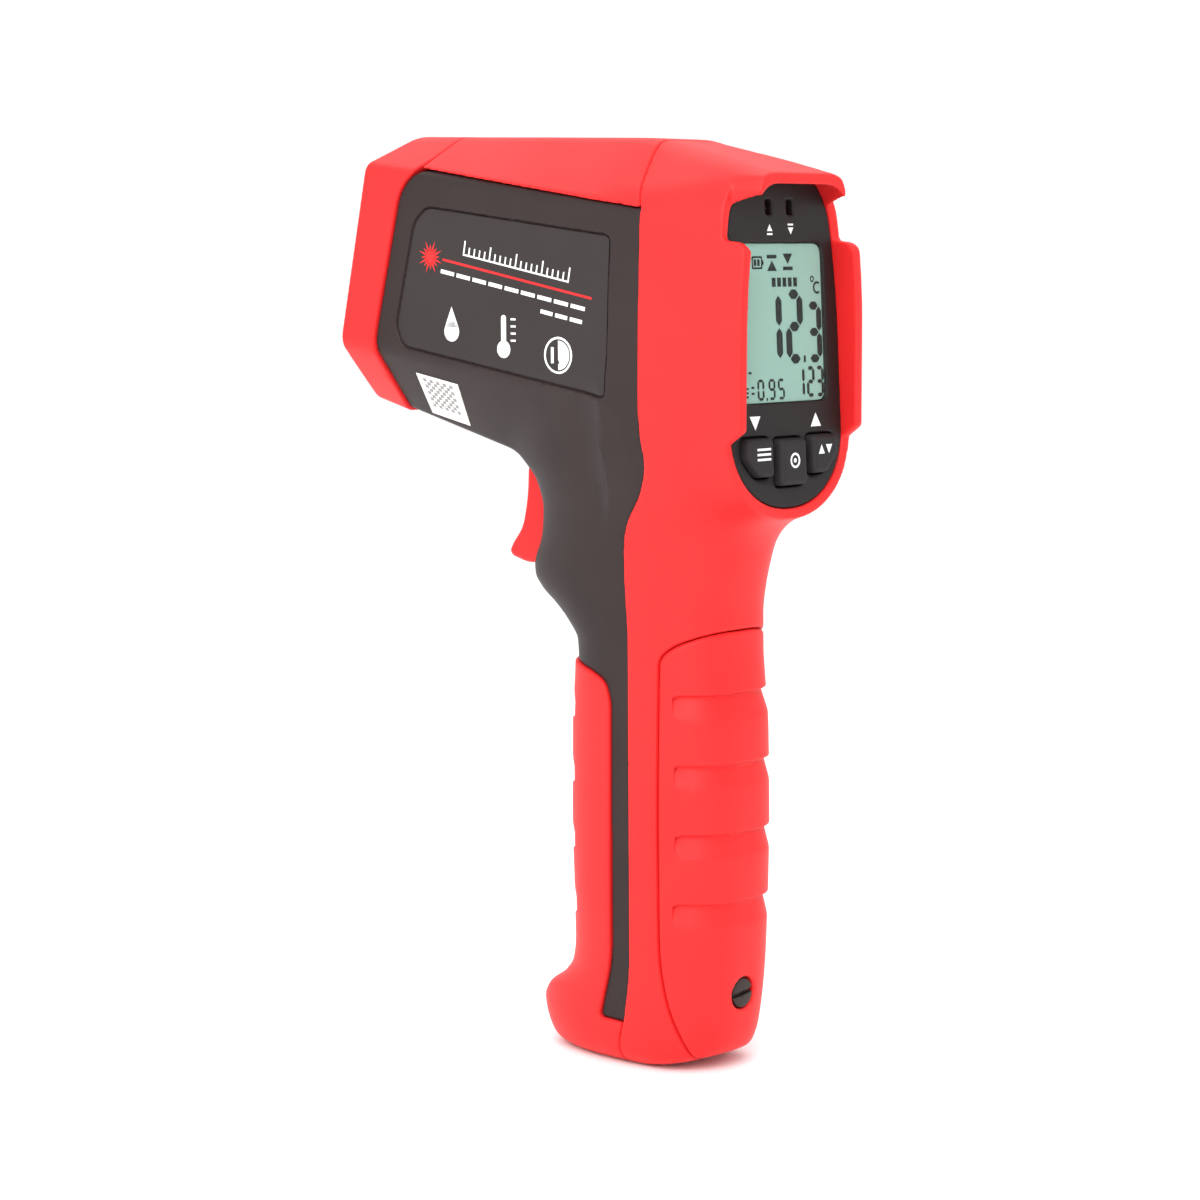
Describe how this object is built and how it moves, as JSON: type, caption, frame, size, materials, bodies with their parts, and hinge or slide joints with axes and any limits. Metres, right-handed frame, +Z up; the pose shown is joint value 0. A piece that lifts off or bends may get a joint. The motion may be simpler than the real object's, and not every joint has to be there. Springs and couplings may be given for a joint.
{
  "type": "infrared thermometer",
  "caption": "Pistol-grip infrared thermometer with a nose lens and aiming lasers, a rear display with keys, a sprung trigger and a battery cover in the handle.",
  "frame": {"origin": "middle of the flat foot under the handle", "axes": "+Z up along the handle, -Y towards the nose and the target, +X to the user's left"},
  "size_m": [0.056, 0.12, 0.2126],
  "materials": {
    "red_plastic": "satin moulded red",
    "charcoal_plastic": "fine texture",
    "black_plastic": "satin black",
    "key_rubber": "matt black silicone",
    "seal_rubber": "soft grey",
    "clear_plastic": "clear",
    "lcd": "grey-green display",
    "white_plastic": "white",
    "circuit_board": "green solder mask",
    "steel": "bright",
    "dark_steel": "blackened",
    "brass": "plain",
    "lens_glass": "dark infrared glass",
    "lamp_lens": "smoked",
    "battery_wrap": "printed wrap",
    "red_wire": "insulation",
    "black_wire": "insulation",
    "label_film": "printed film",
    "sticker_paper": "paper"
  },
  "bodies": {
    "housing": {"front_bezel": "red_plastic", "top_cover": "red_plastic", "rear_shell": "red_plastic", "front_grip": "red_plastic", "left_housing": "charcoal_plastic", "right_housing": "charcoal_plastic", "housing_screw_1": "steel", "housing_screw_2": "steel", "housing_screw_3": "steel", "housing_screw_4": "steel", "housing_screw_5": "steel", "left_label": "label_film", "right_label": "label_film", "sticker": "sticker_paper", "front_plate": "black_plastic", "nose_seal": "seal_rubber", "lens_ring": "black_plastic", "lens": "lens_glass", "lens_tube": "black_plastic", "thermopile": "steel", "sensor_board": "circuit_board", "upper_laser": "brass", "upper_laser_window": "clear_plastic", "lower_laser": "brass", "lower_laser_window": "clear_plastic", "fascia": "black_plastic", "display_window": "clear_plastic", "lcd_panel": "lcd", "backlight": "white_plastic", "display_frame": "black_plastic", "high_lamp": "lamp_lens", "low_lamp": "lamp_lens", "keypad_mat": "key_rubber", "main_board": "circuit_board", "main_chip": "black_plastic", "buzzer": "black_plastic", "sensor_cable": "white_plastic", "trigger_pin": "steel", "trigger_spring": "steel", "trigger_switch": "black_plastic", "battery": "battery_wrap", "battery_snap": "black_plastic", "battery_tray": "black_plastic", "red_lead": "red_wire", "black_lead": "black_wire", "battery_cover_seal": "seal_rubber"},
    "trigger": {"trigger": "red_plastic"},
    "switch_plunger": {"switch_plunger": "white_plastic"},
    "down_key": {"down_key": "key_rubber"},
    "set_key": {"set_key": "key_rubber"},
    "up_key": {"up_key": "key_rubber"},
    "battery_cover": {"battery_cover": "red_plastic"},
    "battery_cover_screw": {"battery_cover_screw": "dark_steel"}
  },
  "joints": [
    {"name": "trigger_pull", "type": "hinge", "parent": "housing", "child": "trigger", "pos_m": [0, -0.0275, 0.1405], "axis": [1, 0, 0], "range_deg": [0, 9], "stiffness_Nm_per_rad": 0.5, "springref_deg": -3.44, "deforming": ["trigger_spring"]},
    {"name": "plunger_press", "type": "slide", "parent": "housing", "child": "switch_plunger", "axis": [0, 1, 0], "range_m": [0, 0.0023]},
    {"name": "down_key_press", "type": "slide", "parent": "housing", "child": "down_key", "axis": [0, -1, 0], "range_m": [0, 0.0008], "stiffness_N_per_m": 800, "springref_m": -0.0003},
    {"name": "set_key_press", "type": "slide", "parent": "housing", "child": "set_key", "axis": [0, -1, 0], "range_m": [0, 0.0008], "stiffness_N_per_m": 800, "springref_m": -0.0003},
    {"name": "up_key_press", "type": "slide", "parent": "housing", "child": "up_key", "axis": [0, -1, 0], "range_m": [0, 0.0008], "stiffness_N_per_m": 800, "springref_m": -0.0003},
    {"name": "cover_pull", "type": "slide", "parent": "housing", "child": "battery_cover", "axis": [0, 1, 0], "range_m": [0, 0.03]},
    {"name": "cover_screw_turn", "type": "hinge", "parent": "battery_cover", "child": "battery_cover_screw", "pos_m": [0, 0.0229, 0.0181], "axis": [0, 1, 0], "continuous": true}
  ],
  "couplings": [
    {"joint": "plunger_press", "follows": "trigger_pull", "m_per_rad": 0.0135}
  ]
}
